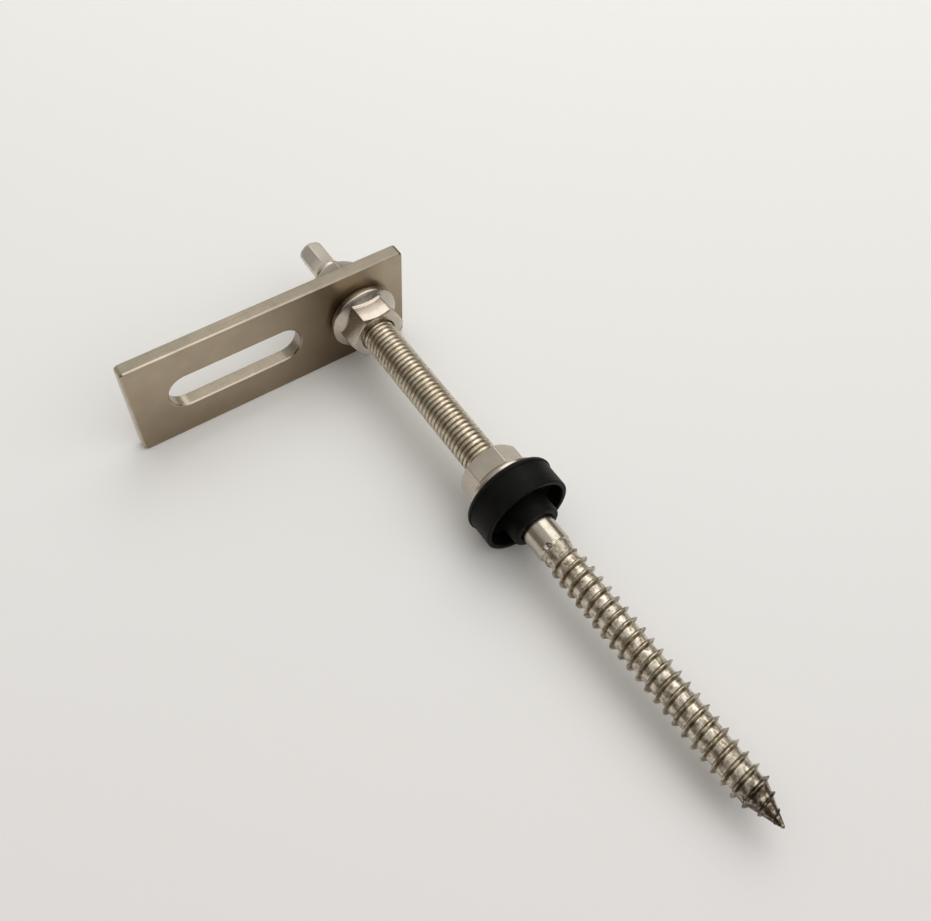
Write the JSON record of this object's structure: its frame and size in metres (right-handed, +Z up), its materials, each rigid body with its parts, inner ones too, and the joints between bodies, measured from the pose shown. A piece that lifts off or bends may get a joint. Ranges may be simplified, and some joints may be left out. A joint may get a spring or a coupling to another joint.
{
  "type": "solar hanger bolt",
  "caption": "Hanger bolt for solar rails: stud with machine and wood thread, slotted adapter plate between flange nuts, and a rubber roof seal under a third nut.",
  "frame": {"origin": "on the surface it lies on, below the middle of its bounding box", "axes": "+X along the bolt towards the wood tip, dipping 2.6 degrees as it rests; +Y along the plate towards the bolt; +Z up"},
  "size_m": [0.2028, 0.0842, 0.0324],
  "materials": {
    "stud_steel": "polished stainless steel",
    "plate_steel": "satin stainless steel",
    "nut_steel": "bright stainless steel",
    "seal_rubber": "smooth moulded rubber"
  },
  "bodies": {
    "root": {"hanger_bolt": "stud_steel", "adapter_plate": "plate_steel", "back_flange_nut": "nut_steel", "front_flange_nut": "nut_steel", "seal_flange_nut": "nut_steel", "rubber_seal": "seal_rubber"}
  },
  "joints": []
}
